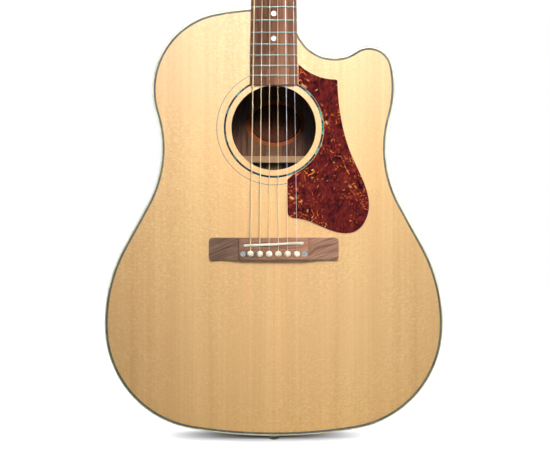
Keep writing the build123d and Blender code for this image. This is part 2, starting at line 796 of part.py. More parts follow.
def make_bridge_pins():
    """Six tapered pins with domed heads, fluted on the side of the string."""
    with BuildPart() as pins:
        for i in range(6):
            foot = Plane(origin=at(pin_x(i), PIN_V, 0), x_dir=(0, 0, 1), z_dir=(1, 0, 0))
            with BuildSketch(foot) as shape:
                with BuildLine():
                    Polyline(
                        (0, 13.3),
                        (0, -9.0),
                        (1.7, -9.0),
                        (2.45, BRIDGE_H),
                        (3.2, BRIDGE_H + 0.7),
                        (PIN_HEAD_R, BRIDGE_H + 1.4),
                    )
                    ThreePointArc(*dome(PIN_HEAD_R, BRIDGE_H + 1.4, 13.3))
                make_face()
            revolve(shape.sketch, axis=Axis(foot.origin, (0, -1, 0)))
            half = GAUGES[i] / 2 + 0.1
            x, near = pin_x(i), STRING_EXIT_V - half
            block(x - half, x + half, near, near + 4, BRIDGE_H + 0.4, -12, Mode.SUBTRACT)
    save(pins, "bridge_pins")


def make_bridge_dots():
    with BuildPart() as dots:
        for x in (-DOT_X, DOT_X):
            disc(DOT_R, BRIDGE_H, BRIDGE_H - DOT_T, centre=(x, PIN_V))
    save(dots, "bridge_dots")


# ---------------------------------------------------------------------------
# Strings
# ---------------------------------------------------------------------------
COIL_TURNS = 2.5
COIL_LINES = [
    coil_plane(i)
    * Helix(GAUGES[i] + 0.08, COIL_TURNS * (GAUGES[i] + 0.08), coil_radius(i), lefthand=i >= 3)
    for i in range(6)
]


def make_strings():
    """Ball, straight run and the turns that stand just clear of the post."""
    for i in range(6):
        with BuildPart() as string:
            tube(PATHS[i], GAUGES[i] / 2)
            tube(COIL_LINES[i], GAUGES[i] / 2)
            with BuildSketch(side(pin_x(i))) as shape:
                with Locations((STRING_EXIT_V + 1.7, -7.5)):
                    Circle(2.0)
            extrude(shape.sketch, amount=1.6, both=True)
        save(string, f"string_{6 - i}")


# ---------------------------------------------------------------------------
# Fingerboard
# ---------------------------------------------------------------------------
def half_width(v):
    """Half the fingerboard's width at v."""
    share = (v - BOARD_END_V) / (NUT_V - BOARD_END_V)
    return (BOARD_END_W + (NUT_W - BOARD_END_W) * share) / 2


with BuildSketch() as _taper:
    with BuildLine():
        Polyline(
            (-half_width(BOARD_END_V), BOARD_END_V),
            (half_width(BOARD_END_V), BOARD_END_V),
            (half_width(NUT_V), NUT_V),
            (-half_width(NUT_V), NUT_V),
            close=True,
        )
    make_face()
BOARD_FACE = _taper.sketch

with BuildPart() as _blank:
    slab(BOARD_FACE, BOARD_T + 0.1, 0)
    with BuildSketch(across(NUT_V + 1)):
        with Locations((0, BOARD_T - BOARD_RADIUS)):
            Circle(BOARD_RADIUS)
    extrude(amount=SCALE, mode=Mode.INTERSECT)
BOARD_BLANK = _blank.part

CAMBER_AXIS = Axis(at(0, 0, BOARD_T - BOARD_RADIUS), (0, 0, 1))


def make_frets():
    """Crowned wires with tangs, curved with the board and bevelled at its edges."""
    crown_w, crown_h = FRET_CROWN
    tang_w, tang_d = FRET_TANG
    with BuildPart() as frets:
        for n in range(1, FRETS + 1):
            v = fret_v(n)
            with BuildSketch(side()) as shape:
                with BuildLine():
                    start, end = (v - crown_w / 2, BOARD_T), (v + crown_w / 2, BOARD_T)
                    ThreePointArc(start, (v, BOARD_T + crown_h), end)
                    Line(end, start)
                make_face()
                with Locations((v, BOARD_T - tang_d / 2)):
                    Rectangle(tang_w, tang_d)
            revolve(shape.sketch, axis=CAMBER_AXIS, revolution_arc=6)
            revolve(shape.sketch, axis=CAMBER_AXIS, revolution_arc=-6)
        with BuildPart(mode=Mode.PRIVATE) as limit:
            slab(BOARD_FACE, 4.6, 0)
            with BuildSketch(front(4.6)) as shape:
                add(BOARD_FACE)
            extrude(shape.sketch, amount=3, taper=30)
        add(limit.part, mode=Mode.INTERSECT)
    save(frets, "frets")
    return frets.part


def make_dots():
    """Pearl dots in the board's face and small ones along its bass edge."""
    with BuildPart() as dots:
        for n in DOT_FRETS:
            v = (fret_v(n) + fret_v(n - 1)) / 2
            for x in (-half_width(v) / 2, half_width(v) / 2) if n == 12 else (0,):
                disc(DOT_R, BOARD_T + 1, BOARD_T - camber(x) - DOT_T, centre=(x, v))
            with BuildSketch(side(-half_width(v) - 1)) as shape:
                with Locations((v, 2.6)):
                    Circle(SIDE_DOT_R)
            extrude(shape.sketch, amount=2.5)
        add(BOARD_BLANK, mode=Mode.INTERSECT)
    save(dots, "position_dots")
    return dots.part


def make_fingerboard(frets, dots):
    with BuildPart() as board:
        add(BOARD_BLANK)
        add(frets, mode=Mode.SUBTRACT)
        add(dots, mode=Mode.SUBTRACT)
    save(board, "fingerboard")


def make_nut():
    """Bone strip behind the board, notched for the strings."""
    edge = half_width(NUT_V)
    with BuildPart() as nut:
        block(-edge, edge, NUT_V, NUT_V + NUT_T, NUT_H + 1, 0)
        with BuildSketch(across(NUT_V + NUT_T + 1)):
            with Locations((0, NUT_H - BOARD_RADIUS)):
                Circle(BOARD_RADIUS)
        extrude(amount=10, mode=Mode.INTERSECT)
        back_edge = nut.faces().sort_by(Axis.Y)[0].edges().sort_by(Axis.Z)[-1]
        fillet(back_edge, 1.5)
        for i in range(6):
            tube(PATHS[i], GAUGES[i] / 2 + 0.01, Mode.SUBTRACT)
    save(nut, "nut")


# ---------------------------------------------------------------------------
# Neck and headstock
# ---------------------------------------------------------------------------
HEEL_REACH, HEEL_GROWTH = 80.0, 185.0
HEEL_H = -HEEL_DEPTH + HEEL_CAP_T


def neck_depth(v):
    """Depth of the neck's round back: an even taper, swelling steeply into the heel."""
    shaft = 17.5 - 2.0 * (v - BODY_LENGTH) / (NUT_V - BODY_LENGTH)
    reach = max(0.0, 1 - (v - BODY_LENGTH) / HEEL_REACH)
    return shaft + HEEL_GROWTH * reach**3


def neck_shaft():
    """Heel and shaft as smooth lofts through half-oval sections."""
    heel = [BODY_LENGTH + step for step in (-2.0, 8, 18, 28, 40, 54, 68, 84)]
    shaft = [heel[-1], 700.0, NUT_V + NUT_T + 6]
    for stations in (heel, shaft):
        sections = []
        for v in stations:
            with BuildSketch(across(v)) as shape:
                add(ellipse_face(half_width(v), neck_depth(v)))
            sections.append(shape.sketch)
        loft(sections)


def head_outline(from_u):
    """The headstock's outline from u upwards: flared shoulders and a gently arched top."""
    low, high = HEAD_HALF
    neck_half = NUT_W / 2
    with BuildSketch(mode=Mode.PRIVATE) as face:
        with BuildLine():
            Polyline((-neck_half, 2), (-neck_half, from_u), (neck_half, from_u), (neck_half, 2))
            Polyline((neck_half, 2), (low, HEAD_SHOULDER_U), (high, HEAD_LENGTH - 6))
            ThreePointArc((high, HEAD_LENGTH - 6), (0, HEAD_LENGTH), (-high, HEAD_LENGTH - 6))
            Polyline((-high, HEAD_LENGTH - 6), (-low, HEAD_SHOULDER_U), (-neck_half, 2))
        make_face()
        fillet(face.vertices().filter_by_position(Axis.Y, 20, 30), 10)
        fillet(face.vertices().filter_by_position(Axis.Y, 150, 180), 7)
    return face.sketch


def head_holes(top, bottom):
    """Six holes for the tuner bushings."""
    with BuildSketch(head(bottom)) as shape:
        with Locations([tuner_place(i) for i in range(6)]):
            Circle(BUSHING_R)
    extrude(shape.sketch, amount=top - bottom, mode=Mode.SUBTRACT)


def rod_pocket():
    """Opening over the truss rod's nut."""
    with BuildSketch(head(-11.5)) as shape:
        with Locations((0, 12.5)):
            SlotOverall(20, 10.4, rotation=90)
    extrude(shape.sketch, amount=15, mode=Mode.SUBTRACT)


def cover_screw_holes():
    with BuildSketch(head(-9)) as shape:
        with Locations(COVER_SCREWS):
            Circle(1.1)
    extrude(shape.sketch, amount=15, mode=Mode.SUBTRACT)


def ear_screw_places():
    return [(x, u + EAR_U) for x, u in (tuner_place(i) for i in range(6))]


def tuner_screw_holes():
    with BuildSketch(head(-HEAD_T)) as shape:
        with Locations(ear_screw_places()):
            Circle(1.1)
    extrude(shape.sketch, amount=8, mode=Mode.SUBTRACT)


def make_neck():
    """Heel, shaft and headstock in one piece, with the dovetail on the heel."""
    with BuildPart() as neck:
        neck_shaft()
        with BuildSketch(head(-HEAD_T)) as shape:
            add(head_outline(-9))
        extrude(shape.sketch, amount=HEAD_T)
        block(-60, 60, BODY_LENGTH - 5, NUT_V + 40, 30, 0, Mode.SUBTRACT)
        with BuildSketch(head(0)) as shape:
            with Locations((0, 30)):
                Rectangle(100, 60)
        extrude(shape.sketch, amount=20, mode=Mode.SUBTRACT)
        block(-60, 60, BODY_LENGTH - 5, BODY_LENGTH + 60, HEEL_H, -250, Mode.SUBTRACT)
        slab(OUTLINE, 0, -PRISM_DEPTH, Mode.SUBTRACT)
        tenon()
        with BuildSketch(across(ROD_NUT[0] + 6)) as shape:
            with Locations((0, ROD_H)):
                Circle(ROD_R)
        extrude(shape.sketch, amount=ROD_NUT[0] + 6 - (BODY_LENGTH - 8), mode=Mode.SUBTRACT)
        rod_pocket()
        head_holes(1, -HEAD_T - 1)
        cover_screw_holes()
        tuner_screw_holes()
        strap_button_hole()
    save(neck, "neck")


def make_heel_cap():
    with BuildPart() as cap:
        neck_shaft()
        block(-60, 60, BODY_LENGTH - 5, BODY_LENGTH + 60, HEEL_H, -HEEL_DEPTH, Mode.INTERSECT)
        slab(OUTLINE, 0, -PRISM_DEPTH, Mode.SUBTRACT)
        strap_button_hole()
    save(cap, "heel_cap")


STRAP_BUTTON_V = BODY_LENGTH + 9.0


def strap_button_hole():
    disc(2.0, 0, -HEEL_DEPTH - 1, Mode.SUBTRACT, (0, STRAP_BUTTON_V))


def make_veneer():
    """Face veneer of the headstock, starting behind the nut."""
    with BuildPart() as veneer:
        with BuildSketch(head(0)):
            add(head_outline(-1))
        extrude(amount=VENEER_T)
        block(-60, 60, NUT_V - 10, NUT_V + NUT_T, 30, -30, Mode.SUBTRACT)
        rod_pocket()
        head_holes(VENEER_T + 1, 0)
        cover_screw_holes()
    save(veneer, "headstock_veneer")


def make_truss_rod():
    """Steel rod from the heel to the headstock, and the socket nut that tightens it."""
    first, last = ROD_NUT
    with BuildPart() as rod:
        with BuildSketch(across(first + 6.5)):
            with Locations((0, ROD_H)):
                Circle(ROD_R)
        extrude(amount=first + 6.5 - (BODY_LENGTH - 8))
    save(rod, "truss_rod")
    with BuildPart() as nut:
        with BuildSketch(across(last)):
            with Locations((0, ROD_H)):
                RegularPolygon(3.5, 6, major_radius=False)
        extrude(amount=last - first)
        with BuildSketch(across(last)):
            with Locations((0, ROD_H)):
                RegularPolygon(2.0, 6, major_radius=False)
        extrude(amount=last - first, mode=Mode.SUBTRACT)
        with BuildSketch(across(first + 6.6)):
            with Locations((0, ROD_H)):
                Circle(ROD_R + RUNNING)
        extrude(amount=8, mode=Mode.SUBTRACT)
    save(nut, "truss_rod_nut")


def make_rod_cover():
    """Small tapered cover over the truss rod nut and its three screws."""
    with BuildPart() as cover:
        with BuildSketch(head(VENEER_T)) as shape:
            with BuildLine():
                Polyline((-12.5, 1.5), (12.5, 1.5), (5.5, 38.5), (-5.5, 38.5), close=True)
            make_face()
            fillet(shape.vertices().group_by(Axis.Y)[0], 2.0)
            fillet(shape.vertices().group_by(Axis.Y)[-1], 4.0)
        extrude(amount=COVER_T)
        chamfer(cover.faces().sort_by(Axis.Y)[0].edges(), 0.5)
        cover_screw_holes()
    save(cover, "truss_rod_cover")
    with BuildPart() as screws:
        with BuildSketch(head(-9)):
            with Locations(COVER_SCREWS):
                Circle(1.1)
        extrude(amount=9 + VENEER_T + COVER_T)
        with BuildSketch(head(VENEER_T + COVER_T)):
            with Locations(COVER_SCREWS):
                Circle(1.9)
        extrude(amount=1.0, taper=30)
        with BuildSketch(head(VENEER_T + COVER_T + 0.5)):
            with Locations(COVER_SCREWS):
                Rectangle(2.2, 0.45)
                Rectangle(0.45, 2.2)
        extrude(amount=1.0, mode=Mode.SUBTRACT)
    save(screws, "cover_screws")


# ---------------------------------------------------------------------------
# Tuners: sealed worm drives on the back of the headstock
# ---------------------------------------------------------------------------
GEAR_W = -HEAD_T - HOUSING[2] / 2   # level of worm and wheel


def hub_plane(i, reach):
    """Plane square to a knob's shaft, a distance outward from its post."""
    x, u = tuner_place(i)
    hand = tuner_side(i)
    origin = HEAD.from_local_coords(Vector(x + hand * reach, u + GEAR_CENTRES, GEAR_W))
    return Plane(origin=origin, x_dir=HEAD.y_dir, z_dir=(hand, 0, 0))


def head_edge(u):
    """Half width of the headstock at u."""
    low, high = HEAD_HALF
    return low + (high - low) * (u - HEAD_SHOULDER_U) / (HEAD_LENGTH - 6 - HEAD_SHOULDER_U)


def round_bar(plane, radius, length, mode=Mode.ADD):
    with BuildSketch(plane) as shape:
        Circle(radius)
    extrude(shape.sketch, amount=length, mode=mode)


def make_housings():
    """Hollow cases with an ear for the fixing screw and bores for post and shaft."""
    across_x, along_u, deep = HOUSING
    shift_x, shift_u = HOUSING_SHIFT
    with BuildPart() as housings:
        for i in range(6):
            x, u = tuner_place(i)
            middle = (x + tuner_side(i) * shift_x, u + shift_u)
            with BuildPart(mode=Mode.PRIVATE) as case:
                with BuildSketch(head(-HEAD_T)) as shape:
                    with Locations(middle):
                        RectangleRounded(across_x, along_u, 3.0)
                extrude(shape.sketch, amount=-deep)
                fillet(case.faces().sort_by(HEAD_DOWN)[-1].edges(), 2.0)
                with BuildSketch(head(-HEAD_T)) as shape:
                    with Locations((x, u + EAR_U / 2)):
                        Rectangle(6.4, -EAR_U)
                    with Locations((x, u + EAR_U)):
                        Circle(3.2)
                extrude(shape.sketch, amount=-1.6)
                with BuildSketch(head(-HEAD_T - HOUSING_WALL)) as shape:
                    with Locations(middle):
                        Rectangle(across_x - 2 * HOUSING_WALL, along_u - 2 * HOUSING_WALL)
                extrude(shape.sketch, amount=-deep + 2 * HOUSING_WALL, mode=Mode.SUBTRACT)
                with BuildSketch(head(-HEAD_T + 1)) as shape:
                    with Locations((x, u)):
                        Circle(POST_R + RUNNING)
                extrude(shape.sketch, amount=-4, mode=Mode.SUBTRACT)
                with BuildSketch(head(-HEAD_T + 1)) as shape:
                    with Locations((x, u + EAR_U)):
                        Circle(1.1)
                extrude(shape.sketch, amount=-4, mode=Mode.SUBTRACT)
                round_bar(hub_plane(i, 6), SHAFT_R + RUNNING, 10, Mode.SUBTRACT)
            add(case.part)
    save(housings, "tuner_housings")


HEAD_DOWN = Axis(HEAD.origin, HEAD.z_dir * -1)


def make_bushings():
    """Washer, hexagon and sleeve round each post."""
    places = [tuner_place(i) for i in range(6)]
    with BuildPart() as bushings:
        with BuildSketch(head(-HEAD_T)):
            with Locations(places):
                Circle(BUSHING_R)
        extrude(amount=HEAD_T + VENEER_T)
        with BuildSketch(head(VENEER_T)):
            with Locations(places):
                Circle(WASHER_R)
        extrude(amount=WASHER_T)
        with BuildSketch(head(VENEER_T + WASHER_T)):
            with Locations(places):
                RegularPolygon(4.9, 6, major_radius=False)
        extrude(amount=BUSHING_RISE - WASHER_T)
        with BuildSketch(head(-HEAD_T)):
            with Locations(places):
                Circle(POST_R + RUNNING)
        extrude(amount=HEAD_T + VENEER_T + BUSHING_RISE, mode=Mode.SUBTRACT)
    save(bushings, "tuner_bushings")


def make_tuner_screws():
    with BuildPart() as screws:
        with BuildSketch(head(-HEAD_T + 8)):
            with Locations(ear_screw_places()):
                Circle(1.1)
        extrude(amount=-8 - 1.6)
        with BuildSketch(head(-HEAD_T - 1.6)):
            with Locations(ear_screw_places()):
                Circle(2.2)
        extrude(amount=-1.2, taper=30)
        with BuildSketch(head(-HEAD_T - 2.8)):
            with Locations(ear_screw_places()):
                Rectangle(2.4, 0.5)
                Rectangle(0.5, 2.4)
        extrude(amount=0.6, mode=Mode.SUBTRACT)
    save(screws, "tuner_screws")


def make_posts():
    """String posts, each with its worm wheel inside the housing."""
    for i in range(6):
        x, u = tuner_place(i)
        floor = -HEAD_T - HOUSING[2] + HOUSING_WALL
        with BuildPart() as post:
            with BuildSketch(head(floor + 0.1)):
                with Locations((x, u)):
                    Circle(POST_R)
            extrude(amount=VENEER_T + POST_RISE - floor - 0.1)
            top = post.faces().sort_by(HEAD_DOWN)[0]
            fillet(top.edges(), 1.0)
            with BuildSketch(head(GEAR_W - 1.6)):
                with Locations((x, u)):
                    Circle(WHEEL_R)
            extrude(amount=3.2)
            hole = Plane(
                origin=HEAD.from_local_coords(Vector(x - 5, u, VENEER_T + 10.4)),
                x_dir=HEAD.y_dir,
                z_dir=(1, 0, 0),
            )
            round_bar(hole, 0.9, 10, Mode.SUBTRACT)
        save(post, f"tuner_post_{6 - i}")


def make_knobs():
    """Worm, shaft, collar and button of each tuner in one turning piece."""
    for i in range(6):
        x, u = tuner_place(i)
        hand = tuner_side(i)
        reach = head_edge(u) + KNOB_GAP - abs(x)
        case_end = HOUSING_SHIFT[0] + HOUSING[0] / 2
        with BuildPart() as knob:
            round_bar(hub_plane(i, -5), WORM_R, 11)
            round_bar(hub_plane(i, -5), SHAFT_R, 5 + reach)
            round_bar(hub_plane(i, case_end + 0.1), 3.0, 1.6)
            round_bar(hub_plane(i, case_end + 1.7), 2.3, reach - case_end - 1.7)
            with BuildPart(mode=Mode.PRIVATE) as button:
                with BuildSketch(head(GEAR_W)) as shape:
                    with Locations((x + hand * reach, u + GEAR_CENTRES)):
                        Ellipse(7.2, 9.4)
                extrude(shape.sketch, amount=3.8, both=True)
                fillet(button.edges().filter_by(GeomType.ELLIPSE), 3.0)
            add(button.part)
        save(knob, f"tuner_knob_{6 - i}")


# ---------------------------------------------------------------------------
# Strap pins
# ---------------------------------------------------------------------------
def strap_pin(plane, shank_r, shank_length):
    """A strap pin standing on a plane; its head's land is centred 8 mm out."""
    section = Plane(origin=plane.origin, x_dir=plane.x_dir, z_dir=plane.x_dir.cross(plane.z_dir))
    with BuildSketch(section) as shape:
        with BuildLine():
            Polyline((0, 10.8), (0, -shank_length), (shank_r, -shank_length), (shank_r, 0), (6, 0), (6, 1.3))
            RadiusArc((6, 1.3), (3.6, 4.2), -3.2)
            RadiusArc((3.6, 4.2), (6.4, 7.0), -3.6)
            Line((6.4, 7.0), (6.4, 9.0))
            ThreePointArc(*dome(6.4, 9.0, 10.8))
        make_face()
    revolve(shape.sketch, axis=Axis(plane.origin, plane.z_dir))


def make_strap_pins():
    with BuildPart() as end_pin:
        tail = Plane(origin=(0, 0, TAIL_Z), x_dir=(1, 0, 0), z_dir=(0, 0, -1))
        strap_pin(tail, STRAP_SHANK_R, RIB_T + TAIL_BLOCK[1])
    save(end_pin, "end_pin")
    with BuildPart() as button:
        heel = Plane(origin=at(0, STRAP_BUTTON_V, -HEEL_DEPTH), x_dir=(1, 0, 0), z_dir=(0, 1, 0))
        strap_pin(heel, 2.0, 24.0)
    save(button, "strap_button")


os.makedirs("parts", exist_ok=True)
make_soundboard()
make_back()
make_ribs()
make_linings()
make_blocks()
make_x_brace()
make_soundboard_braces()
make_bridge_plate()
make_back_braces()
make_centre_strip()
make_label()
make_binding()
make_purfling()
make_rosette()
make_pickguard()
make_bridge()
make_saddle()
make_bridge_pins()
make_bridge_dots()
make_strings()
fret_wires = make_frets()
pearl_dots = make_dots()
make_fingerboard(fret_wires, pearl_dots)
make_nut()
make_neck()
make_heel_cap()
make_veneer()
make_truss_rod()
make_rod_cover()
make_housings()
make_bushings()
make_tuner_screws()
make_posts()
make_knobs()
make_strap_pins()
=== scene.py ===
import json
import math

import bpy
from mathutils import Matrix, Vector

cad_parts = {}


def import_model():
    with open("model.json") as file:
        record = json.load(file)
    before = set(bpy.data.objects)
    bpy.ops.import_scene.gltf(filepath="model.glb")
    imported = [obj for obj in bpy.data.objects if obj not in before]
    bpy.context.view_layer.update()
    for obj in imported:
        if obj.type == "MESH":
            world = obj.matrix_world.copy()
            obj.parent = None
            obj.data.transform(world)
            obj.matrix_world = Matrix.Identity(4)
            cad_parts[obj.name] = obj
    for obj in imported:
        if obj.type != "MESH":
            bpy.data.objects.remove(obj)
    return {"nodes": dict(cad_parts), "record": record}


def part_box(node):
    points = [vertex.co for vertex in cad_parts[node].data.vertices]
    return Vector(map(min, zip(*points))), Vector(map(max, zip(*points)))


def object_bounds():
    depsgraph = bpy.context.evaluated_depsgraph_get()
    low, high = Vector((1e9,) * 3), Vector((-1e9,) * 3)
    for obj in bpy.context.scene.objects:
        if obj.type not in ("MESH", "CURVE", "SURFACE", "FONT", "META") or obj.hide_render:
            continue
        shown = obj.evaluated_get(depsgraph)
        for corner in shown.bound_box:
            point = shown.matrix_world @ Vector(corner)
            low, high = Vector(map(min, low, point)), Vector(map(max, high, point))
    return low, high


# ---------------------------------------------------------------------------
# Looks of a steel-string acoustic guitar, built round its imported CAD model.
# Metres. +Z runs up the neck, the soundboard faces -Y, the treble side is +X.
# ---------------------------------------------------------------------------
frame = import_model()
cad_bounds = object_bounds()
nodes = frame["nodes"]

FACE_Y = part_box("soundboard")[0].y
TAIL_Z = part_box("binding")[0].z
PEARL_LOW, PEARL_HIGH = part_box("rosette_pearl")
HOLE_X = (PEARL_LOW.x + PEARL_HIGH.x) / 2
HOLE_Z = (PEARL_LOW.z + PEARL_HIGH.z) / 2
MM = 0.001


# ---------------------------------------------------------------------------
# A small helper for building node materials
# ---------------------------------------------------------------------------
class Shader:
    """One material. Every method adds nodes and returns an output socket."""

    def __init__(self, name):
        self.material = bpy.data.materials.new(name)
        self.material.use_nodes = True
        self.tree = self.material.node_tree
        self.surface = self.tree.nodes["Principled BSDF"]

    def connect(self, socket, value):
        if isinstance(value, bpy.types.NodeSocket):
            self.tree.links.new(value, socket)
        elif isinstance(value, (tuple, list)) and len(value) == 3 and len(socket.default_value) == 4:
            socket.default_value = (*value, 1.0)
        else:
            socket.default_value = value

    def add(self, kind, settings=(), inputs=()):
        node = self.tree.nodes.new(kind)
        for key, value in dict(settings).items():
            setattr(node, key, value)
        for key, value in dict(inputs).items():
            self.connect(node.inputs[key], value)
        return node

    def place(self):
        """Position in the row frame."""
        return self.add("ShaderNodeTexCoord").outputs["Object"]

    def scaled(self, vector, scale, turn=(0, 0, 0)):
        inputs = {"Vector": vector, "Scale": scale, "Rotation": turn}
        return self.add("ShaderNodeMapping", inputs=inputs).outputs[0]

    def split(self, vector):
        return self.add("ShaderNodeSeparateXYZ", inputs={0: vector}).outputs

    def join(self, x, y, z):
        return self.add("ShaderNodeCombineXYZ", inputs={0: x, 1: y, 2: z}).outputs[0]

    def maths(self, operation, a, b=0.0, c=0.0):
        inputs = {0: a, 1: b, 2: c}
        return self.add("ShaderNodeMath", {"operation": operation}, inputs).outputs[0]

    def times(self, a, b):
        return self.maths("MULTIPLY", a, b)

    def times_plus(self, a, b, c):
        """a * b + c"""
        return self.maths("MULTIPLY_ADD", a, b, c)

    def minus(self, a, b):
        return self.maths("SUBTRACT", a, b)

    def noise(self, vector, scale=1.0, detail=3.0, roughness=0.5, distortion=0.0):
        inputs = {
            "Vector": vector,
            "Scale": scale,
            "Detail": detail,
            "Roughness": roughness,
            "Distortion": distortion,
        }
        return self.add("ShaderNodeTexNoise", inputs=inputs).outputs["Fac"]

    def cells(self, vector, scale, output="Distance"):
        inputs = {"Vector": vector, "Scale": scale}
        return self.add("ShaderNodeTexVoronoi", inputs=inputs).outputs[output]

    def ramp(self, factor, stops):
        """Colour ramp through stops of (position, colour)."""
        node = self.add("ShaderNodeValToRGB", inputs={"Fac": factor})
        band = node.color_ramp
        while len(band.elements) < len(stops):
            band.elements.new(0.5)
        for element, (position, colour) in zip(band.elements, stops):
            element.position = position
            element.color = (*colour, 1.0)
        return node.outputs["Color"]

    def mask(self, factor, low, high):
        """0 below low, 1 above high, smooth between; low may be above high."""
        inputs = {"Value": factor, "From Min": low, "From Max": high}
        settings = {"interpolation_type": "SMOOTHSTEP"}
        return self.add("ShaderNodeMapRange", settings, inputs).outputs["Result"]

    def blend(self, factor, a, b, mode="MIX"):
        node = self.add("ShaderNodeMix", {"data_type": "RGBA", "blend_type": mode})
        self.connect(node.inputs["Factor"], factor)
        self.connect(node.inputs[6], a)
        self.connect(node.inputs[7], b)
        return node.outputs[2]

    def bump(self, height, depth, strength):
        inputs = {"Height": height, "Distance": depth, "Strength": strength}
        return self.add("ShaderNodeBump", inputs=inputs).outputs[0]

    def finish(self, colour, roughness, normal=None, **extra):
        """Connects the surface and returns the material."""
        self.connect(self.surface.inputs["Base Color"], colour)
        self.connect(self.surface.inputs["Roughness"], roughness)
        if normal is not None:
            self.connect(self.surface.inputs["Normal"], normal)
        for key, value in extra.items():
            self.connect(self.surface.inputs[key.replace("_", " ")], value)
        return self.material


def lacquer(shader, strength, roughness):
    """Clear coat with the slight unevenness of a sprayed finish."""
    ripple = shader.noise(shader.place(), 45.0, 2.0)
    shader.connect(shader.surface.inputs["Coat Weight"], strength)
    shader.connect(shader.surface.inputs["Coat Roughness"], roughness)
    normal = shader.bump(ripple, 0.02 * MM, 0.25)
    shader.connect(shader.surface.inputs["Coat Normal"], normal)


# ---------------------------------------------------------------------------
# Woods
# ---------------------------------------------------------------------------
def spruce(name, tint=(1.0, 1.0, 1.0), clear=True):
    """Bookmatched spruce: fine upright grain, faint broad bands and short slanting silk flecks."""
    s = Shader(name)
    x, y, z = s.split(s.place())
    mirrored = s.maths("ABSOLUTE", x)
    wander = s.noise(s.join(s.times(mirrored, 6.0), 0.0, s.times(z, 2.2)), 1.0, 1.0)
    across = s.times_plus(wander, 0.006, mirrored)

    def streaks(per_metre, along, detail):
        grid = s.join(
            s.times(across, per_metre),
            s.times(y, per_metre),
            s.times(z, along),
        )
        return s.noise(grid, 1.0, detail, 0.55)

    fine = streaks(900.0, 4.0, 2.0)
    rings = streaks(300.0, 2.0, 2.0)
    bands = streaks(60.0, 1.0, 2.0)
    broad = streaks(14.0, 0.5, 1.0)
    tone = s.times_plus(fine, 0.15, s.times(rings, 0.22))
    tone = s.times_plus(bands, 0.33, tone)
    tone = s.times_plus(broad, 0.30, tone)
    colour = s.ramp(
        tone,
        [
            (0.34, (0.670, 0.395, 0.165)),
            (0.46, (0.738, 0.462, 0.208)),
            (0.54, (0.778, 0.506, 0.238)),
            (0.66, (0.830, 0.570, 0.285)),
        ],
    )
    blush = s.mask(streaks(38.0, 0.6, 1.0), 0.54, 0.72)
    colour = s.blend(s.times(blush, 0.26), colour, (0.80, 0.455, 0.215))
    for centre, half_width in ((2.5 * MM, 3.2 * MM), (10.5 * MM, 2.4 * MM), (-31.0 * MM, 2.0 * MM)):
        off = s.maths("ABSOLUTE", s.minus(s.times_plus(wander, 0.003, x), centre))
        stripe = s.times(s.mask(off, half_width, half_width * 0.3), 0.38)
        colour = s.blend(stripe, colour, (0.83, 0.455, 0.205))
    # silk: rays of the wood seen as short bright strokes that lean towards the edge
    lean = math.radians(27)
    along = s.times_plus(mirrored, math.cos(lean), s.times(z, math.sin(lean)))
    square = s.times_plus(z, math.cos(lean), s.times(mirrored, -math.sin(lean)))
    silk_grid = s.join(s.times(along, 320.0), s.times(y, 320.0), s.times(square, 1000.0))
    silk = s.noise(silk_grid, 1.0, 2.0, 0.5, 0.35)
    patch = s.mask(s.noise(s.place(), 11.0, 2.0), 0.36, 0.66)
    silk = s.times(s.minus(silk, 0.5), s.times_plus(patch, 0.45, 0.55))
    colour = s.blend(s.times(s.mask(silk, 0.02, 0.17), 0.50), colour, (0.93, 0.70, 0.41))
    colour = s.blend(s.times(s.mask(silk, -0.03, -0.19), 0.50), colour, (0.66, 0.37, 0.14))
    seam = s.mask(mirrored, 0.35 * MM, 0.05 * MM)
    colour = s.blend(s.times(seam, 0.35), colour, (0.50, 0.30, 0.14))
    colour = s.blend(1.0, colour, tint, "MULTIPLY")
    normal = s.bump(s.times_plus(fine, 0.6, rings), 0.04 * MM, 0.25)
    if clear:
        lacquer(s, 0.6, 0.30)
        return s.finish(colour, s.times_plus(fine, 0.12, 0.44), normal, Specular_IOR_Level=0.1)
    return s.finish(colour, s.times_plus(fine, 0.2, 0.6), normal, Specular_IOR_Level=0.2)


def hardwood(name, stops, along, pore=0.5, clear=False, rough=0.5, figure=1.0):
    """Open-pored brown wood; along is the grain's axis, "x" or "z"."""
    s = Shader(name)
    x, y, z = s.split(s.place())
    length, side = (x, z) if along == "x" else (z, x)
    bend_grid = s.join(s.times(length, 5.0), s.times(side, 16.0), y)
    bend = s.times(s.noise(bend_grid, 1.0, 2.0), 0.010 * figure)
    lane = s.maths("ADD", side, bend)
    depth = s.maths("ADD", y, bend)

    def streaks(per_metre, ratio, detail=3.0):
        grid = s.join(
            s.times(lane, per_metre),
            s.times(depth, per_metre),
            s.times(length, per_metre * ratio),
        )
        return s.noise(grid, 1.0, detail, 0.6)

    broad = streaks(90.0, 0.05)
    fine = streaks(420.0, 0.03)
    tone = s.times_plus(broad, 0.6, s.times(fine, 0.4))
    colour = s.ramp(tone, stops)
    pores = s.mask(streaks(1500.0, 0.05, 2.0), 0.60, 0.72)
    colour = s.blend(s.times(pores, pore), colour, stops[0][1])
    relief = s.minus(fine, s.times(pores, 0.9))
    normal = s.bump(relief, 0.10 * MM, 0.35)
    sheen = s.times_plus(fine, 0.2, rough - 0.1)
    if clear:
        lacquer(s, 0.8, 0.10)
    return s.finish(colour, sheen, normal, Specular_IOR_Level=0.06)


